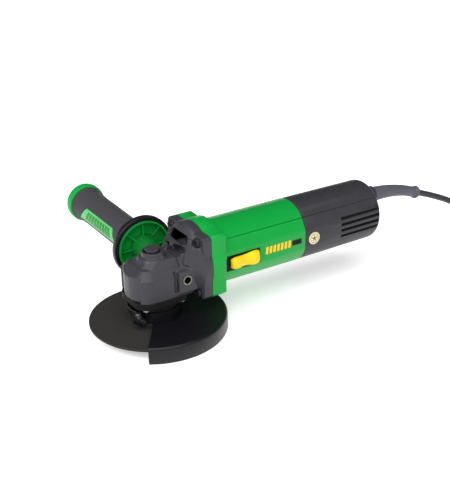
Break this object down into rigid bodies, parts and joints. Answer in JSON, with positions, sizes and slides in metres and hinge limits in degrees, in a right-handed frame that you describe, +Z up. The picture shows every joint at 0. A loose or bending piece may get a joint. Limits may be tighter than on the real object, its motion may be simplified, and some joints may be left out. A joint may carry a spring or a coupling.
{
  "type": "angle grinder",
  "caption": "Corded hand-held angle grinder with a gear head, guarded abrasive disc, side handle, slide switch and spindle lock, for cutting and grinding.",
  "frame": {"origin": "centre of the spindle's free end", "axes": "+Z up the spindle towards the spindle lock, +X along the motor towards the cord, +Y towards the side handle"},
  "size_m": [0.5618, 0.364, 0.0984],
  "materials": {
    "gear_head": "die cast, painted dark grey, satin",
    "motor_green": "moulded plastic, satin green",
    "rear_grey": "moulded plastic, fine texture",
    "black_plastic": "moulded plastic",
    "grip_rubber": "soft moulded grip, fine texture",
    "cord_rubber": "smooth rubber sheath",
    "guard_black": "pressed steel, black powder coat",
    "steel": "machined steel",
    "screw_black": "blackened steel",
    "disc_abrasive": "resin bonded abrasive grain",
    "copper": "enamelled copper wire",
    "brass": "pressed brass",
    "carbon": "pressed carbon",
    "knob_yellow": "moulded plastic, yellow",
    "button_grey": "moulded plastic",
    "badge_gold": "printed foil",
    "handle_green": "moulded plastic, green",
    "laminations": "stacked steel sheets",
    "felt": "pressed felt"
  },
  "bodies": {
    "housing": {"gearbox_housing": "gear_head", "gearbox_screws": "screw_black", "handle_inserts": "steel", "bearing_cover": "black_plastic", "bearing_cover_screws": "steel", "spindle_bearing": "steel", "spindle_bush": "brass", "dust_seal": "felt", "lock_spring": "steel", "motor_housing": "motor_green", "air_baffle": "black_plastic", "stator_core": "laminations", "stator_windings": "copper", "stator_screws": "steel", "front_bearing": "steel", "rear_bearing": "steel", "bearing_sleeve": "cord_rubber", "brush_holders": "brass", "carbon_brushes": "carbon", "brush_springs": "steel", "switch_block": "black_plastic", "rear_cover": "rear_grey", "rear_cover_screw": "steel", "badge": "badge_gold", "cord_boot": "cord_rubber", "cord_tube": "cord_rubber", "cord_coil": "cord_rubber", "cord_tail": "cord_rubber", "plug_body": "cord_rubber", "plug_pins": "brass", "inner_lead": "cord_rubber", "cord_clamp": "black_plastic", "cord_clamp_screws": "steel"},
    "spindle_group": {"spindle": "steel", "inner_flange": "steel", "abrasive_disc": "disc_abrasive", "lock_nut": "steel", "bevel_gear": "steel", "gear_retaining_ring": "steel"},
    "armature": {"armature_shaft": "steel", "armature_core": "laminations", "armature_windings": "copper", "commutator": "brass", "fan": "black_plastic", "pinion": "steel", "pinion_nut": "steel"},
    "spindle_lock": {"lock_button": "button_grey", "lock_tongue": "steel"},
    "guard": {"guard_shell": "guard_black", "guard_collar": "guard_black", "guard_lever_pin": "steel"},
    "guard_release": {"guard_lever": "guard_black"},
    "switch_slide": {"switch_knob": "knob_yellow", "switch_rod": "black_plastic"},
    "side_handle": {"handle_stud": "steel", "handle_core": "handle_green", "handle_rim": "grip_rubber", "handle_grip": "grip_rubber", "handle_end_cap": "handle_green"}
  },
  "joints": [
    {"name": "spindle_spin", "type": "hinge", "parent": "housing", "child": "spindle_group", "pos_m": [0, 0, 0], "axis": [0, 0, 1], "continuous": true},
    {"name": "armature_spin", "type": "hinge", "parent": "housing", "child": "armature", "pos_m": [0, 0, 0.0619], "axis": [1, 0, 0], "continuous": true},
    {"name": "lock_press", "type": "slide", "parent": "housing", "child": "spindle_lock", "axis": [0, 0, -1], "range_m": [0, 0.0022], "stiffness_N_per_m": 700, "springref_m": -0.003, "deforming": ["lock_spring"]},
    {"name": "guard_turn", "type": "hinge", "parent": "housing", "child": "guard", "pos_m": [0, 0, 0.015], "axis": [0, 0, 1], "range_deg": [-90, 90]},
    {"name": "lever_open", "type": "hinge", "parent": "guard", "child": "guard_release", "pos_m": [-0.02428, -0.01291, 0.02], "axis": [0, 0, 1], "range_deg": [0, 45]},
    {"name": "switch_push", "type": "slide", "parent": "housing", "child": "switch_slide", "axis": [-1, 0, 0], "range_m": [0, 0.007]},
    {"name": "handle_screw", "type": "hinge", "parent": "housing", "child": "side_handle", "pos_m": [0.0208, 0.027, 0.0539], "axis": [0, 1, 0], "range_deg": [0, 450]}
  ],
  "couplings": [
    {"joint": "armature_spin", "follows": "spindle_spin", "ratio": 3.4545}
  ]
}
